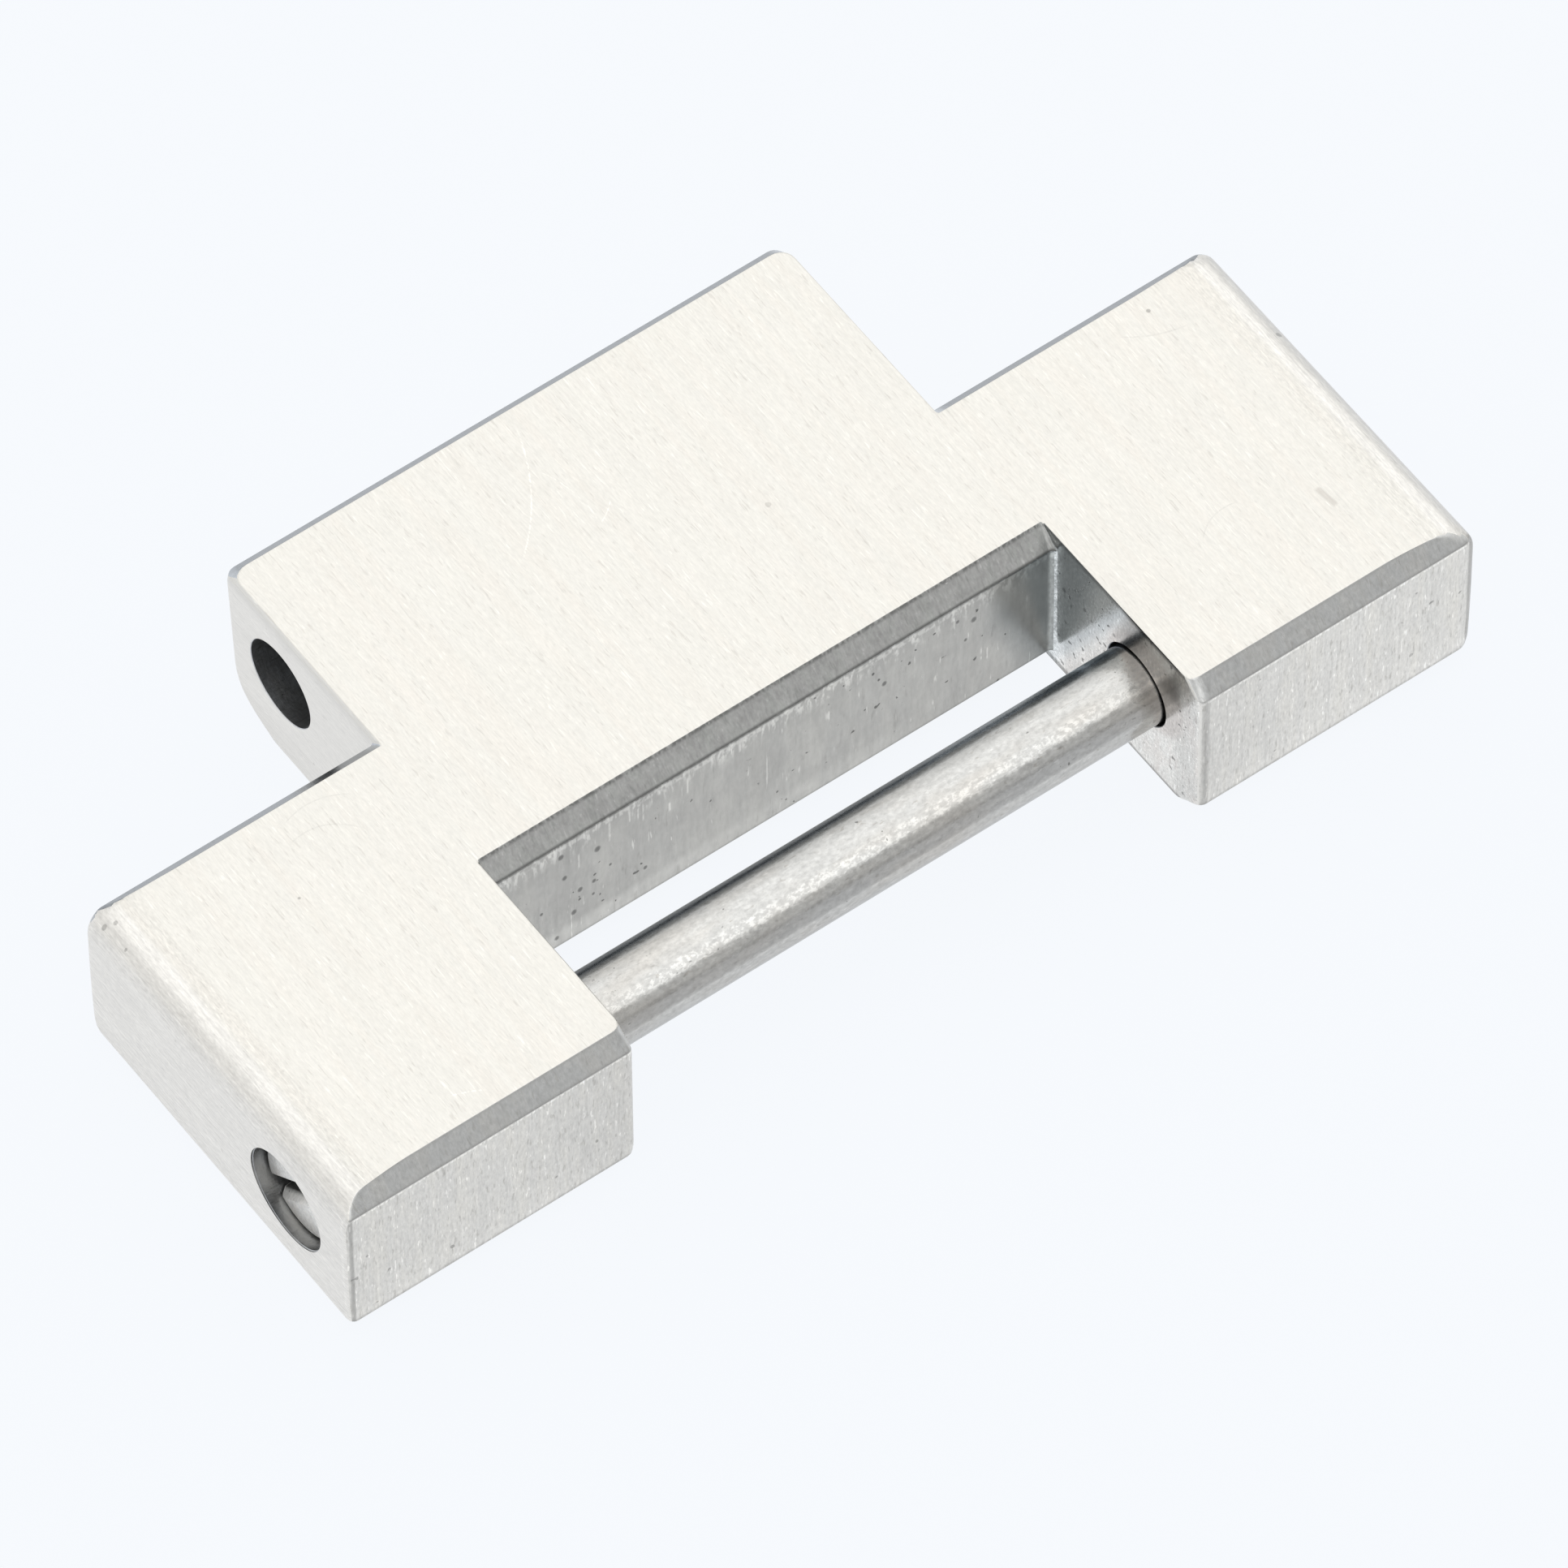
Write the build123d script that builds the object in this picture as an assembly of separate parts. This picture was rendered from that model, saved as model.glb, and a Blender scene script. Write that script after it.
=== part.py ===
from build123d import *
import math
import os

# Watch bracelet link with its screw pin. Lengths are in millimetres, angles in degrees.
# X runs along the screw, from its head to its tip. +Y points from the ears to the tongue. +Z is the top.
# The origin is at the middle of the link's underside.

# Overall size of the link body
link_width = 22.0
link_length = 11.18
thickness = 3.46

# Plan: two ears in front with a gap between them, one tongue behind
gap_width = 11.0
gap_depth = 3.83
ear_depth = 7.07
tongue_width = 10.86

# Corner radii seen from above
gap_corner_radius = 0.12
ear_inner_radius = 0.12
ear_front_radius = 0.07
ear_back_radius = 0.20
tongue_root_radius = 0.10
tongue_corner_radius = 0.25

# Ear ends seen from the front: a shallow dome, a rounded shoulder, and an end face drawn in towards its foot
dome_run = 1.80
dome_radius = 20.0
shoulder_radius = 0.55
belly_depth = 1.20
belly_radius = 55.0
foot_radius = 0.40

# Edges that run along X: the legs of the 45 degree chamfers, the radii below at the back,
# and how far the tongue's back leans in from its chamfer down to its heel
front_top_chamfer = 0.31
front_under_chamfer = 0.32
gap_top_chamfer = 0.36
gap_under_chamfer = 0.40
back_top_chamfer = 0.22
ear_heel_radius = 0.35
tongue_heel_radius = 1.05
tongue_lean_angle = 3.0

# Screw and tongue bore: each axis is placed from the face behind or before it and from the top face
screw_setback = 1.66
screw_drop = 1.62
bore_inset = 1.50
bore_drop = 1.56
bore_diameter = 1.63

# Screw
shank_diameter = 1.43
shank_step = 0.10
head_diameter = 1.79
head_length = 1.20
head_recess = 0.25
head_edge = 0.06
slot_width = 0.34
slot_depth = 0.50
slot_angle = 40.0
thread_diameter = 1.20
thread_length = 2.20
tip_edge = 0.15

# How far the plain shank reaches into the right ear, and the room left for the screw
shank_reach = 1.60
shank_clearance = 0.055
head_clearance = 0.03
thread_clearance = 0.03
tip_clearance = 0.35
drill_point_angle = 118.0

# Cutting tools run this far past the faces they cut
overrun = 1.0

# Places worked out from the sizes above
half_width = link_width / 2
half_gap = gap_width / 2
half_tongue = tongue_width / 2
front_y = -link_length / 2
back_y = link_length / 2
gap_y = front_y + gap_depth
ear_back_y = front_y + ear_depth
screw_y = front_y + screw_setback
screw_z = thickness - screw_drop
bore_y = back_y - bore_inset
bore_z = thickness - bore_drop
head_x = -half_width + head_recess
seat_x = head_x + head_length
shank_end_x = half_gap + shank_reach
tip_x = shank_end_x + thread_length


def plan_block():
    """The link seen from above, at full thickness, with every upright corner rounded."""
    right = [
        (half_gap, gap_y, gap_corner_radius),
        (half_gap, front_y, ear_inner_radius),
        (half_width, front_y, ear_front_radius),
        (half_width, ear_back_y, ear_back_radius),
        (half_tongue, ear_back_y, tongue_root_radius),
        (half_tongue, back_y, tongue_corner_radius),
    ]
    left = [(-x, y, radius) for x, y, radius in reversed(right)]
    points = [(x, y) for x, y, radius in right + left]
    radii = [radius for x, y, radius in right + left]
    outline = FilletPolyline(*points, radius=radii, close=True)
    return extrude(make_face(outline), amount=thickness)


def shoulder_points():
    """Points of the right end's dome and rounded shoulder, as (x, z), from the flat top to the end face."""
    dome_x = half_width - dome_run
    dome_z = thickness - dome_radius
    centre_x = half_width - shoulder_radius
    reach = dome_radius - shoulder_radius
    centre_z = dome_z + math.sqrt(reach**2 - (centre_x - dome_x) ** 2)
    join_angle = math.atan2(centre_z - dome_z, centre_x - dome_x)
    dome_angle = (join_angle + math.pi / 2) / 2
    shoulder_angle = join_angle / 2
    return [
        (dome_x, thickness),
        (dome_x + dome_radius * math.cos(dome_angle), dome_z + dome_radius * math.sin(dome_angle)),
        (dome_x + dome_radius * math.cos(join_angle), dome_z + dome_radius * math.sin(join_angle)),
        (
            centre_x + shoulder_radius * math.cos(shoulder_angle),
            centre_z + shoulder_radius * math.sin(shoulder_angle),
        ),
        (half_width, centre_z),
    ]


def foot_points():
    """Points of the right end's drawn-in belly and rounded foot, as (x, z), from the end face to the underside."""
    belly_x = half_width - belly_radius
    belly_z = thickness - belly_depth
    reach = belly_radius - foot_radius
    centre_x = belly_x + math.sqrt(reach**2 - (belly_z - foot_radius) ** 2)
    join_angle = math.atan2(foot_radius - belly_z, centre_x - belly_x)
    belly_angle = join_angle / 2
    foot_angle = (join_angle - math.pi / 2) / 2
    return [
        (half_width, belly_z),
        (belly_x + belly_radius * math.cos(belly_angle), belly_z + belly_radius * math.sin(belly_angle)),
        (belly_x + belly_radius * math.cos(join_angle), belly_z + belly_radius * math.sin(join_angle)),
        (
            centre_x + foot_radius * math.cos(foot_angle),
            foot_radius + foot_radius * math.sin(foot_angle),
        ),
        (centre_x, 0),
    ]


def end_block():
    """The link seen from the front, as one long bar that gives both ends their rounded outline."""
    shoulder = shoulder_points()
    foot = foot_points()
    right = [
        ThreePointArc(shoulder[0], shoulder[1], shoulder[2]),
        ThreePointArc(shoulder[2], shoulder[3], shoulder[4]),
        Line(shoulder[4], foot[0]),
        ThreePointArc(foot[0], foot[1], foot[2]),
        ThreePointArc(foot[2], foot[3], foot[4]),
    ]
    left = [edge.mirror(Plane.YZ) for edge in right]
    top = Line((-shoulder[0][0], shoulder[0][1]), shoulder[0])
    underside = Line((-foot[4][0], foot[4][1]), foot[4])
    outline = Plane.XZ * make_face([*right, *left, top, underside])
    return extrude(outline, amount=back_y + overrun, both=True)


def along_x(points, from_x, to_x):
    """A straight-sided bar along X whose section is the given (y, z) points."""
    section = Plane.YZ * make_face(Polyline(*points, close=True))
    return Pos(X=from_x) * extrude(section, amount=to_x - from_x)


def chamfer_tool(y, z, y_side, z_side, leg, from_x, to_x):
    """Takes a 45 degree chamfer off the edge at (y, z). The sides, 1 or -1, point out of the metal."""
    out_y = y + y_side * overrun
    out_z = z + z_side * overrun
    far = leg + overrun
    points = [(out_y, out_z), (y - y_side * far, out_z), (out_y, z - z_side * far)]
    return along_x(points, from_x, to_x)


def heel_tool(top_y, lean_angle, radius, from_x, to_x):
    """Takes away what lies behind a back face that leans in below its chamfer and rounds into the underside."""
    lean = math.radians(lean_angle)
    top_z = thickness - back_top_chamfer
    centre_y = top_y - (radius + (top_z - radius) * math.sin(lean)) / math.cos(lean)
    arc_angle = -(lean + math.pi / 2) / 2
    join = (centre_y + radius * math.cos(lean), radius - radius * math.sin(lean))
    middle = (centre_y + radius * math.cos(arc_angle), radius + radius * math.sin(arc_angle))
    outside = Polyline(
        (centre_y, 0),
        (centre_y, -overrun),
        (top_y + overrun, -overrun),
        (top_y + overrun, top_z + overrun),
        (top_y + overrun * math.tan(lean), top_z + overrun),
        join,
    )
    section = Plane.YZ * make_face([*outside.edges(), ThreePointArc(join, middle, (centre_y, 0))])
    return Pos(X=from_x) * extrude(section, amount=to_x - from_x)


def bar_along_x(y, z, radius, from_x, to_x):
    """A round bar along X."""
    section = Plane.YZ * Circle(radius)
    return Pos(from_x, y, z) * extrude(section, amount=to_x - from_x)


def edge_tools():
    """Everything that breaks the edges that run along X."""
    end_x = half_width + overrun
    tongue_x = half_tongue + overrun
    tools = [
        chamfer_tool(front_y, thickness, -1, 1, front_top_chamfer, -end_x, end_x),
        chamfer_tool(front_y, 0, -1, -1, front_under_chamfer, -end_x, end_x),
        chamfer_tool(gap_y, thickness, -1, 1, gap_top_chamfer, -half_gap, half_gap),
        chamfer_tool(gap_y, 0, -1, -1, gap_under_chamfer, -half_gap, half_gap),
        chamfer_tool(back_y, thickness, 1, 1, back_top_chamfer, -tongue_x, tongue_x),
        heel_tool(back_y, tongue_lean_angle, tongue_heel_radius, -tongue_x, tongue_x),
    ]
    for from_x, to_x in ((-end_x, -half_tongue), (half_tongue, end_x)):
        tools.append(chamfer_tool(ear_back_y, thickness, 1, 1, back_top_chamfer, from_x, to_x))
        tools.append(heel_tool(ear_back_y, 0, ear_heel_radius, from_x, to_x))
    return tools


def hole_tools():
    """The tongue's through bore and the stepped hole that takes the screw."""
    tongue_x = half_tongue + overrun
    hole_radius = shank_diameter / 2 + shank_clearance
    head_hole_radius = head_diameter / 2 + head_clearance
    thread_radius = thread_diameter / 2 + thread_clearance
    floor_x = tip_x + tip_clearance
    point_length = thread_radius / math.tan(math.radians(drill_point_angle / 2))
    point = Plane.YZ * Cone(thread_radius, 0, point_length, align=(Align.CENTER, Align.CENTER, Align.MIN))
    return [
        bar_along_x(bore_y, bore_z, bore_diameter / 2, -tongue_x, tongue_x),
        bar_along_x(screw_y, screw_z, head_hole_radius, -half_width - overrun, seat_x),
        bar_along_x(screw_y, screw_z, hole_radius, seat_x - overrun, shank_end_x + tip_clearance),
        bar_along_x(screw_y, screw_z, thread_radius, shank_end_x, floor_x),
        Pos(floor_x, screw_y, screw_z) * point,
    ]


def link_body():
    """One machined piece: ears, web and tongue."""
    return (plan_block() & end_block()) - edge_tools() - hole_tools()


def screw_pin():
    """The slotted screw that is the hinge pin: head, plain shank and threaded tip."""
    head_radius = head_diameter / 2
    shank_radius = shank_diameter / 2
    thread_radius = thread_diameter / 2
    profile = [
        (head_x, 0),
        (head_x, head_radius - head_edge),
        (head_x + head_edge, head_radius),
        (seat_x, head_radius),
        (seat_x, shank_radius),
        (shank_end_x - shank_step, shank_radius),
        (shank_end_x, thread_radius),
        (tip_x - tip_edge, thread_radius),
        (tip_x, thread_radius - tip_edge),
        (tip_x, 0),
    ]
    turned = revolve(Plane.XZ * make_face(Polyline(*profile, close=True)), axis=Axis.X)
    slot_length = head_diameter + overrun
    slot = Rot(X=-slot_angle) * Box(slot_depth, slot_length, slot_width, align=(Align.MIN, Align.CENTER, Align.CENTER))
    return Pos(0, screw_y, screw_z) * (turned - Pos(X=head_x) * slot)


os.makedirs("parts", exist_ok=True)
export_step(link_body(), "parts/link_body.step")
export_step(screw_pin(), "parts/screw_pin.step")
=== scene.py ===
import math
import bpy
import numpy as np
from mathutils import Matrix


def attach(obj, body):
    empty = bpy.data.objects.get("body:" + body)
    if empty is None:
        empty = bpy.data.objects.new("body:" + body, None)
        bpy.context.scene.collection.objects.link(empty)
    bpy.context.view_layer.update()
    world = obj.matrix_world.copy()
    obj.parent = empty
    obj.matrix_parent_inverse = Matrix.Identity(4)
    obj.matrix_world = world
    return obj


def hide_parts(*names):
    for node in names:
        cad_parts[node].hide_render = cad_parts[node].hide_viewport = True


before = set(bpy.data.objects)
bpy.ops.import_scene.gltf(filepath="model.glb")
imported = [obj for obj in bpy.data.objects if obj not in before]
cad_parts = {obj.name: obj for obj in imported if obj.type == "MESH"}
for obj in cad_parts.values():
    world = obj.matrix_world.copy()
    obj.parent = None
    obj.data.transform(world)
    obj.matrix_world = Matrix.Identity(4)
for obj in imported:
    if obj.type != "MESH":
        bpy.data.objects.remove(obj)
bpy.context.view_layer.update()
mm = 0.001

# steel watch bracelet link with its screw pin
# shapes are worked out in millimetres and put into metres at the end


def newPiece(name, points, faces):
    mesh = bpy.data.meshes.new(name)
    mesh.from_pydata(np.asarray(points).tolist(), [], faces)
    mesh.update()
    piece = bpy.data.objects.new(name, mesh)
    bpy.context.scene.collection.objects.link(piece)
    return piece


def closedPiece(name, points, rows, columns):
    # grid of points that closes on itself along its columns, with a cap on its first and on its last row;
    # its faces point outwards
    row, column = np.meshgrid(np.arange(rows - 1), np.arange(columns), indexing="ij")
    beside = (column + 1) % columns
    quads = np.stack([row * columns + column, row * columns + beside,
                      (row + 1) * columns + beside, (row + 1) * columns + column], axis=-1)
    firstCap = list(range(columns - 1, -1, -1))
    lastCap = [(rows - 1) * columns + i for i in range(columns)]
    return newPiece(name, points, quads.reshape(-1, 4).tolist() + [firstCap, lastCap])


def turnedPiece(name, x, radius, y, z, around):
    # turned surface: a row's point at angle a is (x, y + r cos a, z + r sin a), where r may change with a
    angle = np.arange(around) * 2 * np.pi / around
    radius = np.broadcast_to(np.asarray(radius, float).reshape(len(x), -1), (len(x), around))
    along = np.broadcast_to(np.asarray(x, float)[:, None], radius.shape)
    points = np.stack([along, y + radius * np.cos(angle), z + radius * np.sin(angle)], axis=-1)
    return closedPiece(name, points.reshape(-1, 3), len(x), around)


def cut(piece, tool):
    # takes the tool's volume out of the piece and keeps the tool's material number on the new walls
    modifier = piece.modifiers.new("cut", "BOOLEAN")
    modifier.operation = "DIFFERENCE"
    modifier.solver = "EXACT"
    modifier.material_mode = "INDEX"
    modifier.object = tool
    bpy.context.view_layer.update()
    result = bpy.data.meshes.new_from_object(piece.evaluated_get(bpy.context.evaluated_depsgraph_get()))
    piece.modifiers.clear()
    piece.data = result
    bpy.data.objects.remove(tool)


def toMetres(piece, sharpAngle):
    # millimetres to metres; smooth shading between sharp edges, weighted so that large faces stay flat
    mesh = piece.data
    place = np.empty(len(mesh.vertices) * 3)
    mesh.vertices.foreach_get("co", place)
    mesh.vertices.foreach_set("co", place * mm)
    mesh.polygons.foreach_set("use_smooth", np.ones(len(mesh.polygons), bool))
    mesh.set_sharp_from_angle(angle=math.radians(sharpAngle))
    mesh.update()
    weighted = piece.modifiers.new("flatFaces", "WEIGHTED_NORMAL")
    weighted.keep_sharp = True
    weighted.mode = "FACE_AREA"


# link body: level lines of the plan, each side set in by its own profile
link = dict(
    width=22.0, length=11.18, thickness=3.46,
    gapWidth=11.0, gapDepth=3.83, earDepth=7.07, tongueWidth=10.86,
    # legs of the 45 degree chamfers
    frontTop=0.31, frontUnder=0.32, gapTop=0.36, gapUnder=0.40, backTop=0.22,
    # backs: radii of the heels, and how many degrees the tongue's leans
    earHeel=0.35, tongueHeel=1.05, tongueLean=3.0,
    # ends, from the top down to the foot
    domeRun=1.80, domeRadius=20.0, shoulder=0.55, bellyDepth=1.20, bellyRadius=55.0, foot=0.40,
    # radii of the small edges
    edgeBreak=0.035, chamferBlend=0.035,
    # corners of the plan from the gap round the right ear to the tongue's back, which the left ones mirror:
    # 1 outer or -1 inner, radius at the wall, radius at the top face
    corners=(
        (-1, 0.13, 0.05), (1, 0.10, 0.20), (1, 0.19, 0.24),
        (1, 0.16, 0.26), (-1, 0.10, 0.05), (1, 0.14, 0.28),
    ),
    leftFrontCorner=(1, 0.06, 0.02),                    # sharper than its mirror image
    topRun=0.42,                                        # under the top, the radius changes over this height
    underRound=0.22, underFrom=0.60, underRun=0.50,     # below this height the outer corners are rounder
    # the grid: points of each round, and levels that lie close together where an edge or a chamfer turns
    cornerSteps=7, besideCorner=0.05, blendSteps=10,
    footSteps=24, bellySteps=16, shoulderSteps=32, domeSteps=40,
    farInside=3.0,                                      # inset at which the sides' profiles start and end
    underLevels=(0.06, 10), topLevels=(0.085, 14),      # height of a broken edge, number of its levels
    lowLevels=((0.072, 0.50, 0.014), (0.52, 1.15, 0.04)),     # from, to and step, above the underside
    middleLevels=(1.25, 0.75, 0.14),                          # from above it, to below the top, and step
    highLevels=((0.70, 0.42, 0.03), (0.41, 0.09, 0.011)),     # from, to and step, below the top
)


def roundedProfile(points, radii, steps):
    # a bent line (inset, height) whose inner corners become arcs of radius r;
    # an arc starts and ends r tan(turn / 2) away from its corner
    points = np.asarray(points, float)
    line = []
    for corner, before, after, radius in zip(points[1:-1], points[:-2], points[2:], radii):
        back = (before - corner) / np.linalg.norm(before - corner)
        onward = (after - corner) / np.linalg.norm(after - corner)
        half = math.acos(np.clip(back @ onward, -1, 1)) / 2
        bisector = (back + onward) / np.linalg.norm(back + onward)
        centre = corner + bisector * radius / math.sin(half)
        start = corner + back * radius / math.tan(half) - centre
        end = corner + onward * radius / math.tan(half) - centre
        share = np.linspace(0, 1, steps)[:, None]
        turn = math.pi - 2 * half
        sweep = np.sin((1 - share) * turn) * start + np.sin(share * turn) * end
        line.append(centre + sweep / math.sin(turn))
    return np.concatenate(line)


def arc(centreX, centreZ, radius, start, end, steps):
    # the centre plus r (cos a, sin a), for angles a from start to end
    angle = np.linspace(start, end, steps)
    return np.stack([centreX + radius * np.cos(angle), centreZ + radius * np.sin(angle)], 1)


def endProfile(s):
    # the ear's end as (inset, height): foot arc, belly drawn in, straight wall, shoulder arc, shallow dome
    half, top = s["width"] / 2, s["thickness"]
    domeX, domeZ = half - s["domeRun"], top - s["domeRadius"]
    shoulderX = half - s["shoulder"]
    shoulderZ = domeZ + math.sqrt((s["domeRadius"] - s["shoulder"]) ** 2 - (shoulderX - domeX) ** 2)
    joinTop = math.atan2(shoulderZ - domeZ, shoulderX - domeX)
    bellyX, bellyZ = half - s["bellyRadius"], top - s["bellyDepth"]
    footX = bellyX + math.sqrt((s["bellyRadius"] - s["foot"]) ** 2 - (bellyZ - s["foot"]) ** 2)
    joinFoot = math.atan2(s["foot"] - bellyZ, footX - bellyX)
    foot = arc(footX, s["foot"], s["foot"], -math.pi / 2, joinFoot, s["footSteps"])
    belly = arc(bellyX, bellyZ, s["bellyRadius"], joinFoot, 0, s["bellySteps"])
    shoulder = arc(shoulderX, shoulderZ, s["shoulder"], 0, joinTop, s["shoulderSteps"])
    dome = arc(domeX, domeZ, s["domeRadius"], joinTop, math.pi / 2, s["domeSteps"])
    line = np.concatenate([foot, belly[1:], shoulder, dome[1:]])
    line[:, 0] = half - line[:, 0]
    return line


def sideProfiles(s):
    # each kind of side as a line of (inset from its plane, height) that starts and ends far inside
    top, far, steps, blend = s["thickness"], s["farInside"], s["blendSteps"], s["chamferBlend"]
    lean = math.tan(math.radians(s["tongueLean"])) * (top - s["backTop"])

    def chamfered(low, high):
        line = [(far, 0), (low, 0), (0, low), (0, top - high), (high, top), (far, top)]
        return roundedProfile(line, [blend] * 4, steps)

    def heeled(heelInset, heelRadius):
        line = [(far, 0), (heelInset, 0), (0, top - s["backTop"]), (s["backTop"], top), (far, top)]
        return roundedProfile(line, [heelRadius, blend, blend], steps)

    return dict(
        wall=roundedProfile([(far, 0), (0, 0), (0, top), (far, top)], [s["edgeBreak"]] * 2, steps),
        front=chamfered(s["frontUnder"], s["frontTop"]),
        gap=chamfered(s["gapUnder"], s["gapTop"]),
        earBack=heeled(0, s["earHeel"]),
        tongueBack=heeled(lean, s["tongueHeel"]),
        end=endProfile(s),
    )


def gridLevels(s):
    # heights of the level lines; those of the broken edges crowd towards the underside and towards the top
    top = s["thickness"]
    (underHeight, underCount), (topHeight, topCount) = s["underLevels"], s["topLevels"]
    middleFrom, middleTo, middleStep = s["middleLevels"]
    levels = [[0.0], underHeight * np.linspace(0, 1, underCount) ** 2]
    levels += [np.arange(start, end, step) for start, end, step in s["lowLevels"]]
    levels += [np.arange(middleFrom, top - middleTo, middleStep)]
    levels += [np.arange(top - start, top - end, step) for start, end, step in s["highLevels"]]
    levels += [top - topHeight * np.linspace(1, 0, topCount) ** 2, [top]]
    return np.concatenate(levels)


def cornerRadii(s, heights, low, high, outer):
    # from low at the wall to high at the top by a smooth step; outer corners grow again towards the underside
    rise = np.clip((heights - (s["thickness"] - s["topRun"])) / s["topRun"], 0, 1)[:, None]
    fall = np.clip((s["underFrom"] - heights) / s["underRun"], 0, 1)[:, None] ** 2 * outer
    return low + (high - low) * rise * rise * (3 - 2 * rise) + s["underRound"] * fall


def buildLinkBody(s):
    # each level is the plan's outline: a side lies d(z) inside its own plane, by its profile,
    # and a corner is an arc of radius r(z)
    profiles, heights = sideProfiles(s), gridLevels(s)
    halfWidth, halfGap, halfTongue = s["width"] / 2, s["gapWidth"] / 2, s["tongueWidth"] / 2
    frontY, backY = -s["length"] / 2, s["length"] / 2
    gapY, earBackY = frontY + s["gapDepth"], frontY + s["earDepth"]
    # sides in order round the plan, as profile, outward normal and plane: right half, its mirror image, gap
    right = [("wall", (-1, 0), halfGap), ("front", (0, -1), frontY), ("end", (1, 0), halfWidth),
             ("earBack", (0, 1), earBackY), ("wall", (1, 0), halfTongue), ("tongueBack", (0, 1), backY)]
    left = [(kind, (-nx, ny), -plane if nx else plane) for kind, (nx, ny), plane in right[4::-1]]
    sides = right + left + [("gap", (0, -1), gapY)]
    leftCorners = list(reversed(s["corners"]))
    leftCorners[3] = s["leftFrontCorner"]
    bend, low, high = np.array(list(s["corners"]) + leftCorners, float).T

    normals = np.array([normal for kind, normal, plane in sides], float)
    inset = np.stack([np.interp(heights, profiles[kind][:, 1], profiles[kind][:, 0])
                      for kind, normal, plane in sides], axis=1)
    # a rim inside the underside and the top keeps their shading flat
    inset[[0, -1]] += s["besideCorner"]
    place = np.array([plane for kind, normal, plane in sides]) - normals.sum(axis=1) * inset
    before = np.roll(np.arange(len(sides)), 1)
    alongX = np.abs(normals[:, 0]) > 0.5
    cornerX = np.where(alongX, place, place[:, before])
    cornerY = np.where(alongX, place[:, before], place)
    corner = np.stack([cornerX, cornerY], axis=-1)[:, :, None, :]

    angle = np.linspace(0, np.pi / 2, s["cornerSteps"])[None, :, None]
    direction = np.cos(angle) * normals[before][:, None, :] + np.sin(angle) * normals[:, None, :]
    both = (normals[before] + normals)[None, :, None, :]
    reach = (bend * cornerRadii(s, heights, low, high, bend > 0))[:, :, None, None]
    plan = corner - reach * both + reach * direction[None]
    # one point close to each end of every straight side keeps the shading flat between the corners
    first, last = plan[:, :, -1], np.roll(plan[:, :, 0], -1, axis=1)
    step = (last - first) * s["besideCorner"] / np.linalg.norm(last - first, axis=2, keepdims=True)
    plan = np.concatenate([plan, (first + step)[:, :, None], (last - step)[:, :, None]], axis=2)
    level = np.broadcast_to(heights[:, None, None, None], plan.shape[:3] + (1,))
    points = np.concatenate([plan, level], axis=-1).reshape(-1, 3)
    return closedPiece("linkBodyMachined", points, len(heights), plan.shape[1] * plan.shape[2])


# finishes of the link body's faces, by material number
zones = dict(along=0, upright=1, frontChamfer=2, hole=3, gapWall=4, innerEar=5, backChamfer=6, gapChamfer=7)
# how large a part of the normal is where a finish starts or ends, and the room beside the gap in millimetres
facing = dict(
    across=0.72, sideways=0.70, slopeAbove=0.45, slopeUnder=0.22, tilted=0.45, level=0.90, heel=0.70,
    gapMargin=0.01,
)


def finishZones(piece, s, f):
    mesh = piece.data
    normal, centre = np.empty(len(mesh.polygons) * 3), np.empty(len(mesh.polygons) * 3)
    mesh.polygons.foreach_get("normal", normal)
    mesh.polygons.foreach_get("center", centre)
    nx, ny, nz = normal.reshape(-1, 3).T
    x, y = centre.reshape(-1, 3)[:, :2].T
    gapBackY = s["gapDepth"] - s["length"] / 2 + s["gapUnder"]
    inGap = (np.abs(x) < s["gapWidth"] / 2 + f["gapMargin"]) & (y < gapBackY)
    upright = (np.abs(ny) > f["across"]) & (np.abs(nz) < f["tilted"])
    sloped = (np.abs(nz) >= f["tilted"]) & (np.abs(nz) < f["level"]) & (np.abs(nx) < f["across"])
    sloped &= np.abs(ny) > np.where(nz < 0, f["slopeUnder"], f["slopeAbove"])
    behind = sloped & (ny > 0)
    innerEar = (np.abs(nx) > f["sideways"]) & (np.abs(nz) < f["sideways"]) & inGap
    # the first that holds: the tongue's and the ears' heels go with the underside or with the back
    choices = [
        (behind & (nz <= -f["heel"]), "along"), (behind & (nz < 0), "upright"), (behind, "backChamfer"),
        (sloped & inGap, "gapChamfer"), (sloped, "frontChamfer"), (innerEar, "innerEar"),
        (upright & inGap, "gapWall"), (upright, "upright"),
    ]
    holding, numbers = zip(*[(holds, zones[name]) for holds, name in choices])
    zone = np.select(holding, numbers, zones["along"])
    mesh.polygons.foreach_set("material_index", zone.astype(np.int32))


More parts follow.
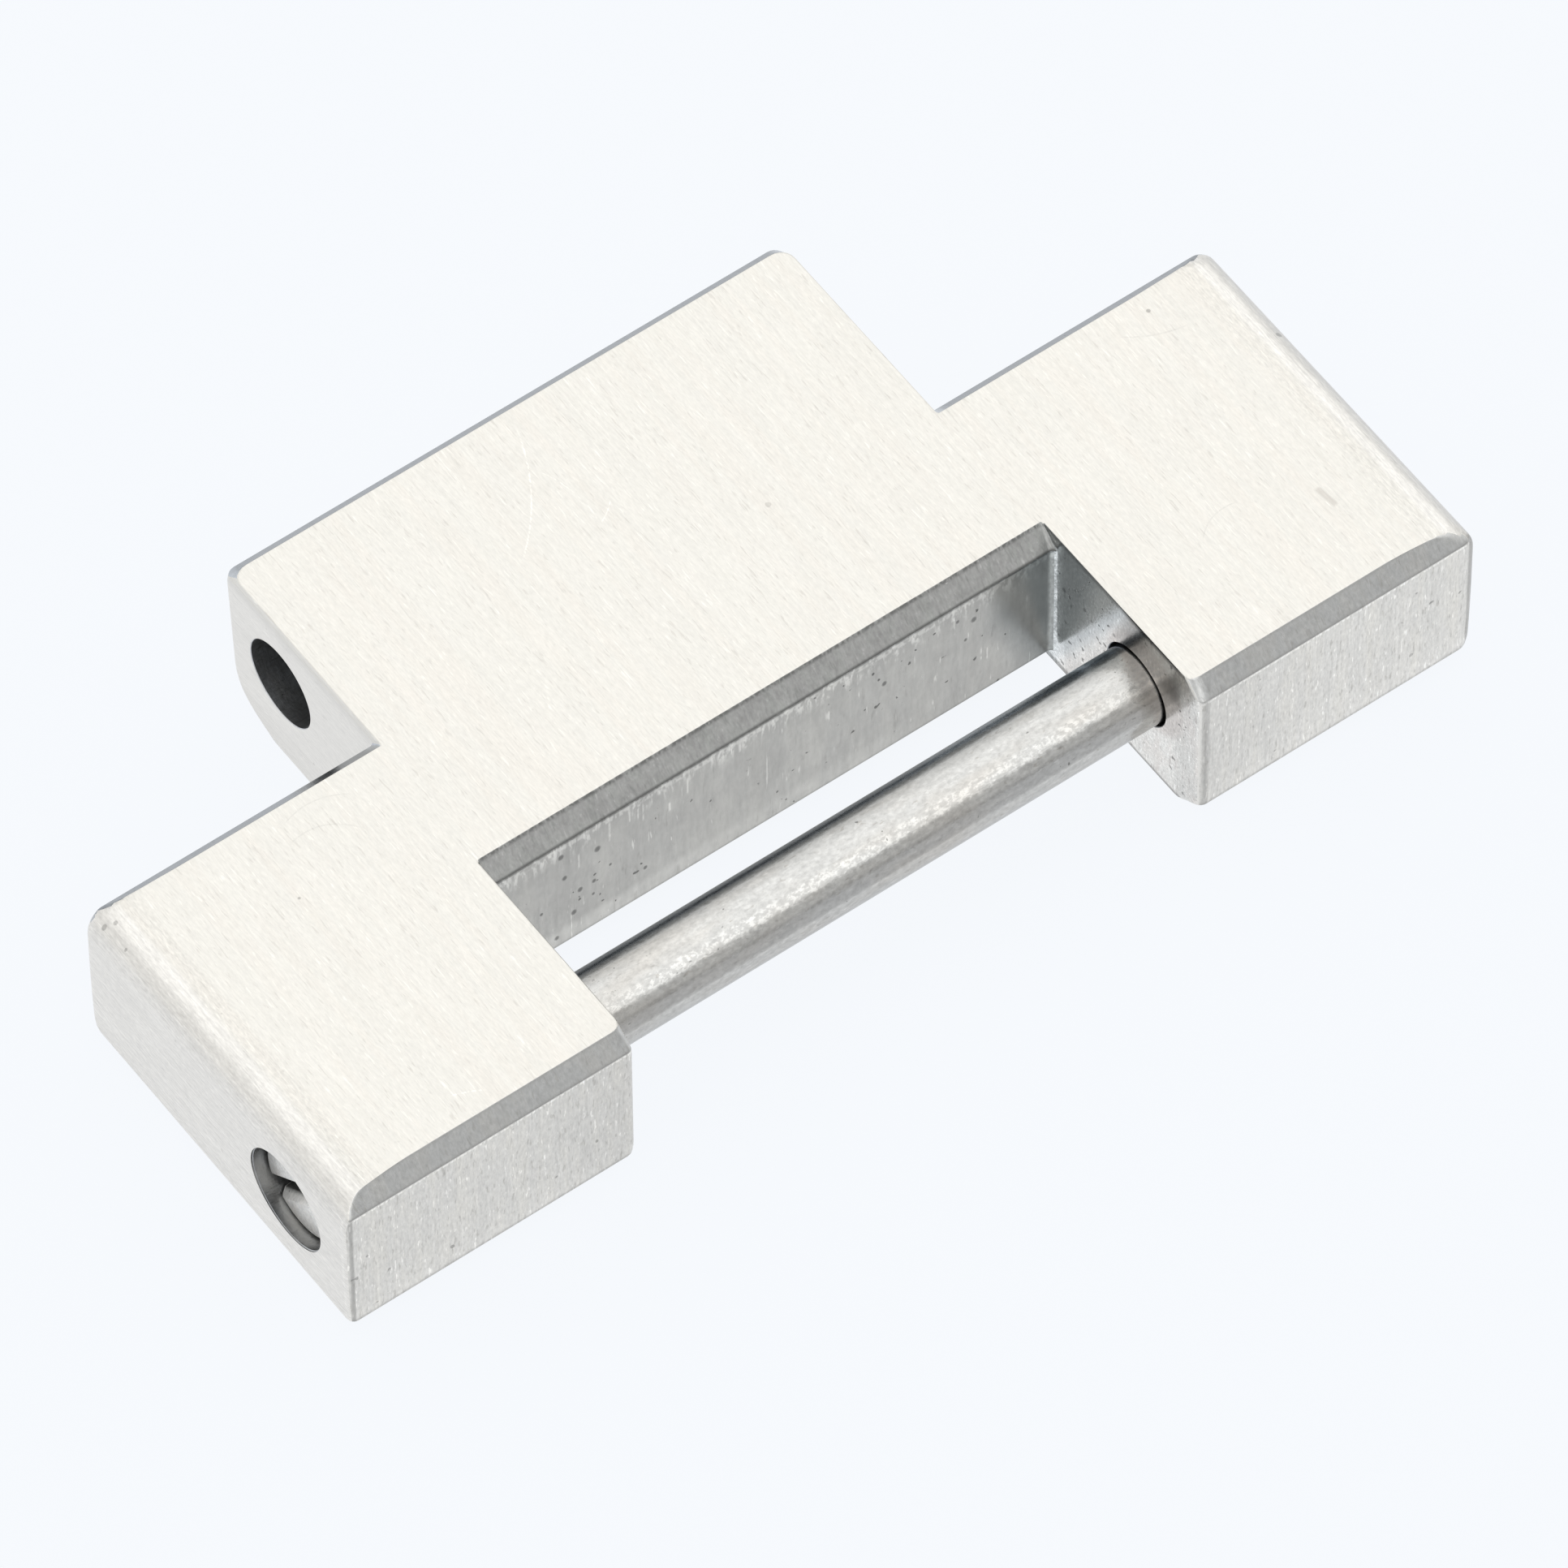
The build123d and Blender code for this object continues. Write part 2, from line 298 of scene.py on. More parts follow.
# screw pin: a turned profile with a helical thread and a sawn slot
screw = dict(
    y=-3.93, z=1.84, headX=-10.75, seatX=-9.55, shankEndX=7.1, tipX=9.3, around=96,
    headRadius=0.870, shankRadius=0.715, threadRadius=0.60, shankStep=0.10, tipEdge=0.15,
    headEdge=0.06, headEdgeSteps=6, seatEdge=0.02, seatFillet=0.05, tipRound=0.02, relief=0.02,
    faceRings=(0.02, 0.3, 0.6), shankFrom=0.3, shankRings=30, centreRing=0.02,
    threadDepth=0.12, threadPitch=0.25, threadStep=0.0125, threadFrom=0.02, threadTo=0.005,
    crest=0.12, flank=0.72,                # shares of half a pitch
    fadeIn=0.35, fadeOut=0.10,             # lengths over which the thread starts and ends
    slotWidth=0.34, slotAngle=-40.0, slotOverrun=1.0,
    # section of the slot: depth below the head's face, and distance inwards from the slot's lower or upper
    # side; the lower side is worn to a slope at the mouth
    slotLower=((-1.0, -0.07), (-0.001, -0.07), (0.14, 0.05), (0.45, 0.08), (0.50, 0.12)),
    slotUpper=((0.50, 0.05), (0.45, 0.0), (0.03, 0.0), (-0.001, -0.03), (-1.0, -0.03)),
)


def threadRadii(s, x):
    # the radius at (x, a) falls by depth times how far x is from the crest line x = pitch (a / full turn + n)
    turn = np.arange(s["around"]) / s["around"]
    phase = (x[:, None] / s["threadPitch"] - turn) % 1.0
    away = np.clip((np.abs(phase - 0.5) * 2 - s["crest"]) / s["flank"], 0, 1)
    fade = np.clip((x - s["shankEndX"]) / s["fadeIn"], 0, 1) * np.clip((s["tipX"] - x) / s["fadeOut"], 0, 1)
    outside = np.minimum(s["threadRadius"], s["threadRadius"] - s["tipEdge"] + (s["tipX"] - x))
    return np.minimum(outside[:, None], s["threadRadius"] - s["threadDepth"] * away * fade[:, None])


def slotTool(s):
    # a bar along the slot, turned about the screw's axis
    half, long = s["slotWidth"] / 2, s["headRadius"] + s["slotOverrun"]
    section = [(s["headX"] + depth, -half + inwards) for depth, inwards in s["slotLower"]]
    section += [(s["headX"] + depth, half - inwards) for depth, inwards in s["slotUpper"]]
    angle = math.radians(s["slotAngle"])
    along = np.array([0, math.cos(angle), math.sin(angle)])
    across = np.array([0, -math.sin(angle), math.cos(angle)])
    ends = [[np.array([x, s["y"], s["z"]]) + across * aside + along * side * long for x, aside in section]
            for side in (1, -1)]
    count = len(section)
    faces = [[i, (i + 1) % count, (i + 1) % count + count, i + count] for i in range(count)]
    faces += [list(range(count - 1, -1, -1)), [count + i for i in range(count)]]
    return newPiece("slotTool", np.concatenate(ends), faces)


def buildScrew(s):
    # rings from the head's face along the shank, the thread and back to the middle of the tip
    face, seat, edge = s["headX"], s["seatX"], s["headEdge"]
    line = [(face, ring) for ring in s["faceRings"]] + [(face, s["headRadius"] - edge)]
    line += [(face + edge - edge * math.cos(angle), s["headRadius"] - edge + edge * math.sin(angle))
             for angle in np.linspace(0, math.pi / 2, s["headEdgeSteps"])[1:]]
    line += [(seat - s["seatEdge"], s["headRadius"]), (seat, s["headRadius"] - s["seatEdge"]),
             (seat, s["shankRadius"] + s["seatFillet"]), (seat + s["seatFillet"], s["shankRadius"])]
    shankX = np.linspace(seat + s["shankFrom"], s["shankEndX"] - s["shankStep"], s["shankRings"])
    line += [(x, s["shankRadius"]) for x in shankX]
    line += [(s["shankEndX"], s["threadRadius"] - s["relief"])]
    x, radius = np.array(line).T
    threadX = np.arange(s["shankEndX"] + s["threadFrom"], s["tipX"] - s["threadTo"], s["threadStep"])
    tip = np.array([s["threadRadius"] - s["tipEdge"] - s["tipRound"], s["centreRing"]])
    allX = np.concatenate([x, threadX, [s["tipX"], s["tipX"]]])
    plain, tip = (np.repeat(rings[:, None], s["around"], axis=1) for rings in (radius, tip))
    allRadii = np.concatenate([plain, threadRadii(s, threadX), tip])
    piece = turnedPiece("screwPinTurned", allX, allRadii, s["y"], s["z"], s["around"])
    cut(piece, slotTool(s))
    return piece


# holes: the screw's is stepped, for its head, shank and thread; the tongue's bore runs through
holes = dict(
    headRadius=0.925, shankRadius=0.77, threadRadius=0.63, shankFloorX=7.45, threadFloorX=9.65,
    threadEntry=0.08, pointX=10.03, pointRadius=0.01,
    boreY=4.09, boreZ=1.90, boreRadius=0.815, lip=0.012, mouth=0.03, overrun=1.0, around=128,
)


def holeTool(h, s, p):
    # stepped hole of the screw: head, shank through both inner walls, thread and drill point
    lip, end, gap, seat = h["lip"], -s["width"] / 2, s["gapWidth"] / 2, p["seatX"]
    head, shank, thread = h["headRadius"], h["shankRadius"], h["threadRadius"]
    line = [(end - h["overrun"], head + lip), (end + h["mouth"], head + lip), (end + h["mouth"] + lip, head),
            (seat, head), (seat, shank), (-gap - lip, shank), (-gap, shank + lip), (gap, shank + lip),
            (gap + lip, shank), (h["shankFloorX"], shank), (h["shankFloorX"] + h["threadEntry"], thread),
            (h["threadFloorX"], thread), (h["pointX"], h["pointRadius"])]
    x, radius = np.array(line).T
    return turnedPiece("holeTool", x, radius, p["y"], p["z"], h["around"])


def boreTool(h, s):
    lip, half, bore = h["lip"], s["tongueWidth"] / 2, h["boreRadius"]
    line = [(-half - h["overrun"], bore + lip), (-half, bore + lip), (-half + lip, bore),
            (half - lip, bore), (half, bore + lip), (half + h["overrun"], bore + lip)]
    x, radius = np.array(line).T
    return turnedPiece("boreTool", x, radius, h["boreY"], h["boreZ"], h["around"])


class Wire:
    # a node's output that can stand in sums, differences, products and quotients
    def __init__(self, graph, socket):
        self.graph, self.socket = graph, socket

    def join(self, operation, first, second=None):
        values = [first] if second is None else [first, second]
        return self.graph.node("ShaderNodeMath", {"operation": operation}, dict(enumerate(values)))

    def __add__(self, other):
        return self.join("ADD", self, other)

    def __radd__(self, other):
        return self.join("ADD", other, self)

    def __sub__(self, other):
        return self.join("SUBTRACT", self, other)

    def __rsub__(self, other):
        return self.join("SUBTRACT", other, self)

    def __mul__(self, other):
        return self.join("MULTIPLY", self, other)

    def __rmul__(self, other):
        return self.join("MULTIPLY", other, self)

    def __truediv__(self, other):
        return self.join("DIVIDE", self, other)

    def __rtruediv__(self, other):
        return self.join("DIVIDE", other, self)

    def __abs__(self):
        return self.join("ABSOLUTE", self)

    def over(self, other):
        return self.join("GREATER_THAN", self, other)

    def larger(self, other):
        return self.join("MAXIMUM", self, other)

    def smaller(self, other):
        return self.join("MINIMUM", self, other)

    def ramp(self, low, high, start=0.0, end=1.0):
        sockets = {"Value": self, "From Min": low, "From Max": high, "To Min": start, "To Max": end}
        return self.graph.node("ShaderNodeMapRange", {"interpolation_type": "SMOOTHSTEP"}, sockets)


class Graph:
    def __init__(self, tree):
        self.tree = tree
        tree.nodes.clear()

    def node(self, kind, settings=None, sockets=None, output=0):
        made = self.tree.nodes.new(kind)
        for name, value in (settings or {}).items():
            setattr(made, name, value)
        for name, value in (sockets or {}).items():
            if isinstance(value, Wire):
                self.tree.links.new(value.socket, made.inputs[name])
            else:
                made.inputs[name].default_value = value
        return Wire(self, made.outputs[output]) if len(made.outputs) else None

    def also(self, wire, output):
        return Wire(self, wire.socket.node.outputs[output])

    def mixColours(self, factor, first, second):
        return self.node("ShaderNodeMix", {"data_type": "RGBA"}, {0: factor, 6: first, 7: second}, 2)

    def noise(self, place, scale, detail, roughness):
        sockets = {"Vector": place, "Scale": scale, "Detail": detail, "Roughness": roughness}
        return self.node("ShaderNodeTexNoise", {}, sockets)

    def stretched(self, place, scale, move):
        return self.node("ShaderNodeMapping", {}, {"Vector": place, "Scale": scale, "Location": move})


def objectMillimetres(graph):
    coordinates = graph.node("ShaderNodeTexCoord", output="Object")
    return graph.node("ShaderNodeVectorMath", {"operation": "SCALE"}, {0: coordinates, "Scale": 1 / mm})


def newGraph(name):
    material = bpy.data.materials.new(name)
    material.use_nodes = True
    return material, Graph(material.node_tree)


# each noise of a finish: how far it is moved, so that no two repeat each other, its detail and its roughness
noiseKinds = dict(
    streak=((0.4, 0.2, 0.6), 3.0, 0.65), grain=((3.1, 7.7, 1.3), 2.0, 0.6),
    broad=((8.3, 4.9, 2.2), 2.0, 0.55), fleck=((11.0, 2.0, 5.0), 2.0, 0.6), pit=((5.3, 9.1, 4.2), 1.0, 0.4),
)
# what all finishes share: scale of the broad streaks beside the streaks', how softly flecks and pits start,
# how the stain is made of the noises, and what pits and grain add to roughness and grooves
steel = dict(
    broadScale=0.2, fleckSoftness=0.08, darkFleckFrom=1.02, pitSoftness=0.05,
    stainBroad=0.7, stainCloud=0.3, stainFrom=0.42, stainTo=0.66, stain=0.6,
    pitRoughness=0.15, grainGroove=0.7,
)


def brushedSteel(name, f, wearAndPaintedLight):
    # streaks and short grain are noise squeezed along the brushing; flecks and pits are the rare values of
    # other noises; wear and painted light work on x, y, z in millimetres and give a factor for the shade,
    # which carries painted highlights and painted shade, shares of the stained colour and of the colour of
    # painted cool shade, and what is added to the roughness
    material, graph = newGraph(name)
    place = objectMillimetres(graph)

    def noiseOf(kind, squeeze, scale):
        move, detail, roughness = noiseKinds[kind]
        squeezed = tuple(squeeze if axis in f["along"] else 1.0 for axis in "xyz")
        return graph.noise(graph.stretched(place, squeezed, move), scale, detail, roughness)

    streak = noiseOf("streak", f["squeeze"], f["streakScale"])
    grain = noiseOf("grain", f["grainSqueeze"], f["grainScale"])
    broad = noiseOf("broad", f["squeeze"], f["streakScale"] * steel["broadScale"])
    fleck = noiseOf("fleck", f["fleckSqueeze"], f["fleckScale"])
    pit = noiseOf("pit", 1.0, f["pitScale"])
    cloud = graph.noise(place, f["cloudScale"], 3.0, 0.6)
    bright = fleck.ramp(f["fleckFrom"], f["fleckFrom"] + steel["fleckSoftness"])
    darkFrom = steel["darkFleckFrom"] - f["fleckFrom"]
    dark = fleck.ramp(darkFrom, darkFrom - steel["fleckSoftness"])
    pits = pit.ramp(f["pitFrom"], f["pitFrom"] + steel["pitSoftness"])
    shade = 1 + (streak - 0.5) * f["streak"] + (grain - 0.5) * f["grain"] + (broad - 0.5) * f["broad"]
    shade = shade + (cloud - 0.5) * f["cloud"] + bright * f["fleck"] - dark * f["darkFleck"]
    shade = shade * (1 - pits * f["pit"])
    patches = broad * steel["stainBroad"] + cloud * steel["stainCloud"]
    stained = patches.ramp(steel["stainFrom"], steel["stainTo"])
    tint = (stained * steel["stain"]).larger(dark * steel["stain"])

    parts = graph.node("ShaderNodeSeparateXYZ", {}, {0: place})
    wornAndPaintedLight = wearAndPaintedLight(parts, graph.also(parts, 1), graph.also(parts, 2), streak, grain)
    # the factor carries painted highlights and painted shade besides the wear
    shade = shade * wornAndPaintedLight["factor"]
    if "soiled" in wornAndPaintedLight:
        tint = tint.larger(wornAndPaintedLight["soiled"])
    tone = graph.mixColours(tint, f["colour"], f["stain"])
    # painted shade: a cooler colour where the shade is painted
    if "paintedCoolShade" in wornAndPaintedLight:
        tone = graph.mixColours(wornAndPaintedLight["paintedCoolShade"], tone, f["paintedShadeColour"])
    base = graph.node("ShaderNodeVectorMath", {"operation": "SCALE"}, {0: tone, "Scale": shade})
    rough = f["roughness"] + (grain - 0.5) * f["roughnessSpread"] + pits * steel["pitRoughness"]
    if "rough" in wornAndPaintedLight:
        rough = rough + wornAndPaintedLight["rough"]
    height = streak * f["groove"] + grain * (f["groove"] * steel["grainGroove"]) - pits * f["pitDepth"]
    bump = graph.node("ShaderNodeBump", {}, {"Strength": 1.0, "Distance": mm, "Height": height})
    shader = graph.node("ShaderNodeBsdfPrincipled", {}, {
        "Base Color": base, "Roughness": rough, "Metallic": 1.0, "Normal": bump})
    graph.node("ShaderNodeOutputMaterial", {}, {"Surface": shader})
    return material


def scratch(u, v, first, last, bow, width):
    # 1 along a bow from first to last: the distance to the chord, less 4 bow t (1 - t), is under the width
    (u0, v0), (u1, v1) = first, last
    length = math.hypot(u1 - u0, v1 - v0)
    du, dv = (u1 - u0) / length, (v1 - v0) / length
    share = ((u - u0) * du + (v - v0) * dv) / length
    aside = (v - v0) * du - (u - u0) * dv - share * (1 - share) * (4 * bow)
    return abs(aside).ramp(width, width * 0.35) * share.ramp(0.0, 0.15) * share.ramp(1.0, 0.85)


def nick(u, v, at, low, high, width):
    # 1 on a short straight line along v: u is within the width of one value, v between low and high
    middle, half = (low + high) / 2, (high - low) / 2
    return abs(u - at).ramp(width, width * 0.3) * abs(v - middle).ramp(half, half * 0.6)


def spot(u, v, centre, size, softness=0.6):
    # 1 inside a circle, 0 outside it
    du, dv = u - centre[0], v - centre[1]
    return (du * du + dv * dv).ramp(size ** 2, (size * softness) ** 2)


def strongest(marks):
    # the largest of several shares
    most = marks[0]
    for mark in marks[1:]:
        most = most.larger(mark)
    return most


# finishes of brushed steel: scales of the noises in cells per millimetre, how much each one changes the
# shade, and colours
satinAlong = dict(
    along="y", squeeze=0.035, streakScale=26.0, streak=0.20, broad=0.05,
    grainSqueeze=0.26, grainScale=30.0, grain=0.24, cloudScale=0.45, cloud=0.03,
    fleckSqueeze=0.10, fleckScale=27.0, fleckFrom=0.64, fleck=0.13, darkFleck=0.10,
    pitScale=5.0, pitFrom=0.80, pit=0.14, pitDepth=0.003, roughness=0.34, roughnessSpread=0.10, groove=0.0012,
    colour=(0.768, 0.743, 0.689, 1.0), stain=(0.752, 0.714, 0.655, 1.0),
    # the cool colour is painted shade on the domes and below the top
    paintedShadeColour=(0.766, 0.742, 0.700, 1.0),
)
satinUpright = dict(
    satinAlong, along="yz", squeeze=0.07, streakScale=20.0, streak=0.40, broad=0.20,
    grainSqueeze=0.34, grainScale=20.0, grain=0.56, cloudScale=1.2, cloud=0.12,
    fleckSqueeze=0.20, fleckScale=16.0, fleckFrom=0.62, fleck=0.32, darkFleck=0.18,
    pitFrom=0.77, pit=0.40, roughness=0.32,
    colour=(0.718, 0.700, 0.662, 1.0), stain=(0.70, 0.675, 0.620, 1.0),
)
groundChamfer = dict(
    satinUpright, squeeze=0.2, streak=0.24, broad=0.10, grainSqueeze=0.6, grainScale=18.0, grain=0.34,
    fleck=0.06, darkFleck=0.10, cloudScale=4.0, cloud=0.16, pit=0.2, roughness=0.25,
    colour=(0.580, 0.580, 0.568, 1.0), stain=(0.57, 0.558, 0.530, 1.0),
)
gapChamfer = dict(
    groundChamfer, squeeze=0.25, streak=0.44, cloudScale=3.0, cloud=0.46,
    colour=(0.495, 0.490, 0.474, 1.0), stain=(0.465, 0.474, 0.448, 1.0),
)
# the ground chamfer with a darker, cooler colour: painted shade on the chamfers that face back
backChamfer = dict(groundChamfer, colour=(0.285, 0.298, 0.312, 1.0), stain=(0.27, 0.28, 0.285, 1.0))
# the gap wall's milled finish; its darker colour is partly painted shade of the dim gap
milledGapWallWithPaintedShade = dict(
    satinUpright, squeeze=0.16, streakScale=9.0, streak=0.38, broad=0.30,
    grainSqueeze=0.45, grainScale=14.0, grain=0.22, cloudScale=1.3, cloud=0.36,
    fleckSqueeze=0.13, fleckScale=11.0, fleckFrom=0.67, fleck=0.50, darkFleck=0.10,
    pitScale=7.0, pitFrom=0.745, pit=0.62, roughness=0.25, groove=0.0008,
    colour=(0.458, 0.448, 0.420, 1.0), stain=(0.442, 0.430, 0.398, 1.0),
    # the cool colour is painted shade towards the right end
    paintedShadeColour=(0.430, 0.458, 0.450, 1.0),
)
innerEarWall = dict(
    satinUpright, along="z", squeeze=0.35, streak=0.16, grainSqueeze=0.8, grain=0.22,
    cloudScale=1.6, cloud=0.40, pitScale=8.0, pitFrom=0.71, pit=0.6, roughness=0.19,
    # the cool colour is painted shade above the slanting border
    colour=(0.800, 0.785, 0.745, 1.0), stain=(0.67, 0.62, 0.58, 1.0), paintedShadeColour=(0.74, 0.80, 0.82, 1.0),
)
# drilled walls whose darker, cooler colour is painted shade inside the holes
boreWall = dict(
    satinAlong, along="x", squeeze=2.5, streakScale=7.0, streak=0.5, broad=0.5, grain=0.3, cloud=0.4,
    roughness=0.30, groove=0.003, colour=(0.395, 0.402, 0.410, 1.0), stain=(0.30, 0.295, 0.285, 1.0),
)
pinSteel = dict(
    satinAlong, along="x", squeeze=0.30, streakScale=10.0, streak=0.30, broad=0.12,
    grainSqueeze=0.70, grainScale=14.0, grain=0.62,
    fleckSqueeze=0.4, fleckScale=12.0, fleckFrom=0.66, fleck=0.16, darkFleck=0.12, cloud=0.10,
    pitScale=9.0, pitFrom=0.76, pit=0.50, pitDepth=0.001, roughness=0.20, roughnessSpread=0.16, groove=0.0016,
    # the cool colour is painted shade on the upper limb
    colour=(0.640, 0.632, 0.608, 1.0), stain=(0.58, 0.55, 0.505, 1.0), paintedShadeColour=(0.56, 0.62, 0.70, 1.0),
)

# single marks in millimetres: scratches as first point, last point, bow and width; specks as centre and size
topScratches = [
    ((-0.10, 5.13), (-1.64, 2.78), 0.22, 0.020), ((-0.36, 4.13), (-0.15, 2.70), 0.12, 0.012),
    ((-0.15, 2.70), (0.26, 3.00), -0.03, 0.014), ((-8.41, -4.77), (-7.89, -5.01), 0.02, 0.018),
]
topDullScratches = [
    ((8.60, 0.80), (9.75, 0.30), -0.10, 0.022), ((7.30, -3.25), (8.25, -2.95), 0.16, 0.020),
    ((-7.75, 0.55), (-6.55, 0.10), 0.25, 0.020), ((-7.6, 0.9), (-6.3, 0.75), 0.2, 0.018),
]
tanScratch = ((9.38, -3.44), (9.44, -3.96), 0.0, 0.075)
topSpecks = [
    ((9.335, 0.90), 0.045), ((-8.15, -0.35), 0.03), ((10.80, -0.62), 0.06),
    ((-10.84, 1.12), 0.05), ((-10.69, 1.02), 0.045), ((-10.82, 0.56), 0.03),
]
frontSpecks = [((9.73, 1.0), 0.05), ((-10.62, 1.95), 0.035)]
# nicks as place along X, lowest and highest level and width; pits as place along X or Y, level and size
frontNick = (-7.235, 1.12, 1.86, 0.022)
gapNicks = [
    (-3.21, 2.40, 3.00, 0.030), (-2.82, 2.60, 2.95, 0.025), (-2.66, 2.52, 3.02, 0.022),
    (-2.56, 2.40, 2.95, 0.022), (-3.81, 2.12, 2.62, 0.026), (-4.00, 2.95, 3.08, 0.050),
    (-2.05, 2.25, 2.52, 0.030), (-1.70, 2.42, 2.90, 0.025), (-0.68, 2.70, 2.98, 0.035),
    (-0.16, 1.30, 2.35, 0.018), (4.05, 1.25, 1.65, 0.020), (4.17, 1.18, 1.55, 0.020),
]
gapPits = [
    (-3.45, 2.42, 0.060), (-3.53, 1.61, 0.040), (-3.80, 1.60, 0.050), (-3.93, 1.08, 0.052),
    (-4.09, 2.16, 0.048), (-4.15, 2.78, 0.055), (-4.55, 1.55, 0.032), (-3.55, 1.27, 0.030),
    (-4.27, 0.65, 0.045), (-3.21, 1.79, 0.028), (-2.54, 1.13, 0.040), (3.90, 2.50, 0.055),
    (3.58, 2.70, 0.035), (3.74, 2.08, 0.032), (2.14, 2.22, 0.048),
]
earPits = [
    (-2.01, 2.25, 0.065), (-2.20, 2.03, 0.035), (-2.56, 2.33, 0.055), (-2.06, 1.43, 0.045),
    (-2.45, 1.38, 0.050), (-3.33, 2.51, 0.055), (-2.74, 2.22, 0.040), (-1.90, 0.90, 0.040),
]
pitEdge = 0.3                            # inside this share of its size a pit is darkest
gapPitGrowth, gapPitSquash = 1.25, 0.8   # the gap wall's pits are larger than listed, and taller than wide


def topWearAndPaintedLight(x, y, z, streak, grain):
    # hairline scratches, a tan one, specks, painted highlights where the shoulders start, painted shade on the
    # right rim, along the shoulders and on the right front edge, and painted cool shade below the top
    onTop, onRight = z.ramp(3.2, 3.3), x.ramp(0.0, 1.0)
    light = strongest([scratch(x, y, *mark) for mark in topScratches])
    dullMarksAndPaintedShade = strongest([scratch(x, y, *mark) for mark in topDullScratches])
    specks = strongest([spot(x, y, *mark) for mark in topSpecks])
    tan = scratch(x, y, *tanScratch) * grain.ramp(0.20, 0.50)
    # painted highlight along the start of each shoulder, stronger on the right
    paintedRidgeHighlight = abs(abs(x) - 10.60).ramp(0.15, 0.05) * (0.5 + streak.ramp(0.30, 0.65)) * (0.045 + onRight * 0.060)
    marks = light * grain.ramp(0.35, 0.6) * 0.16 + paintedRidgeHighlight - dullMarksAndPaintedShade * grain.ramp(0.3, 0.6) * 0.10
    # painted shade on the upper rim of the right end
    paintedRimShade = x.ramp(10.80, 10.90) * z.ramp(2.95, 3.10) * 0.12
    # the domes and, below them, the ends are rougher than the flat top
    dome = abs(x).ramp(10.10, 10.22) * onTop
    domeShade = dome * ((grain - 0.5) * 0.24 + (streak - 0.5) * 0.12 - 0.04 + onRight * 0.02)
    ends = abs(x).ramp(10.2, 10.6) * z.ramp(0.05, 0.15)
    endShade = (1 - onTop) * (0.02 + ends * ((grain - 0.5) * 0.22 + (streak - 0.5) * 0.24))
    # painted shade along the shoulders
    shoulder = z.ramp(3.00, 3.20) * z.ramp(3.43, 3.32)
    factor = 1 + marks * onTop - paintedRimShade + domeShade + endShade - shoulder * 0.08
    # painted shade on the rounded right front edge, and a painted highlight line beside the left one
    edge = x.ramp(10.80, 10.88) * y.ramp(-5.40, -5.50) * z.ramp(0.15, 0.5) * 0.42
    bright = x.ramp(-10.6, -10.7) * abs(y + 5.47).ramp(0.05, 0.0) * grain.ramp(0.35, 0.6) * 0.10
    factor = factor * (1 - specks * 0.35) * (1 - tan * 0.17) * (1 - edge + bright)
    # painted cool shade on the domes and on everything below the top
    return dict(factor=factor, soiled=tan, paintedCoolShade=abs(x).ramp(10.42, 10.52).larger(1 - onTop) * (1 - tan))


def frontWearAndPaintedLight(x, y, z, streak, grain):
    # a painted highlight line, broken by nicks, under the chamfer, one upright scratch, painted shade on the
    # outer edges and along the foot, painted light towards the ends, on the right ear and low down, and a
    # painted shadow line and a painted highlight line along the right ear's inner edge
    chamferZ = link["thickness"] - link["frontTop"]
    # a painted highlight line under the chamfer, broken by nicks
    edge = abs(z - (chamferZ - 0.035)).ramp(0.035, 0.0) * grain.ramp(0.38, 0.58)
    bright = nick(x, z, *frontNick) * grain.ramp(0.3, 0.55)
    atFront = y.ramp(-5.2, -5.3)
    # painted shade on the outer edges, and a painted shadow line beside the right ear's inner edge
    corner = strongest([
        x.ramp(10.80, 10.85) * 0.40, abs(x + 10.91).ramp(0.06, 0.015) * 0.36,
        abs(x - 5.62).ramp(0.10, 0.02) * z.ramp(3.2, 2.2, 0.20, 0.30) * atFront])
    # a painted highlight line along the right ear's inner edge
    paintedEdgeHighlight = x.ramp(5.56, 5.53) * x.ramp(5.40, 5.45) * z.ramp(0.6, 1.4, 0.06, 0.16) * atFront
    # painted shade along the foot
    foot = z.ramp(0.42, 0.34) * 0.26
    specks = strongest([spot(x, z, *mark) for mark in frontSpecks])
    # painted light towards the ends, on the right ear and low down
    broad = 0.88 + abs(x).ramp(5.6, 8.2) * 0.08 + x.over(0.0) * 0.06 + z.ramp(1.6, 0.6) * 0.03
    factor = (broad + edge * 0.34 + bright * 0.30) * (1 - corner + paintedEdgeHighlight)
    return dict(factor=factor * (1 - foot) * (1 - specks * 0.35))


def frontChamferBordersAndPaintedLight(x, y, z, streak, grain):
    # the chamfer's borders are a little darker, unevenly, and the right ear's has painted light beside the gap
    share = (z - (link["thickness"] - link["frontTop"])) / link["frontTop"]
    border = abs(share - 0.5).ramp(0.34, 0.50)
    # painted light where the right ear's chamfer turns round the corner
    paintedCornerLight = x.ramp(5.74, 5.60) * x.ramp(5.0, 5.1) * 0.28
    return dict(factor=(1 - border * grain.ramp(0.30, 0.55) * 0.20) * (1 + paintedCornerLight), soiled=border * 0.4)


def gapChamferNicksAndPaintedShade(x, y, z, streak, grain):
    # uneven painted shade lines at the top edge and, stronger, at the foot, and short light nicks across
    share = (z - (link["thickness"] - link["gapTop"])) / link["gapTop"]
    # painted shade lines at the foot and at the top edge
    foot = share.ramp(0.14, 0.03) * grain.ramp(0.2, 0.5, 0.35, 0.62)
    paintedRimShade = share.ramp(0.80, 0.94) * grain.ramp(0.3, 0.6) * 0.55
    across = streak.ramp(0.60, 0.70) * grain.ramp(0.50, 0.62)
    return dict(factor=(1 + across * 0.16) * (1 - foot - paintedRimShade))


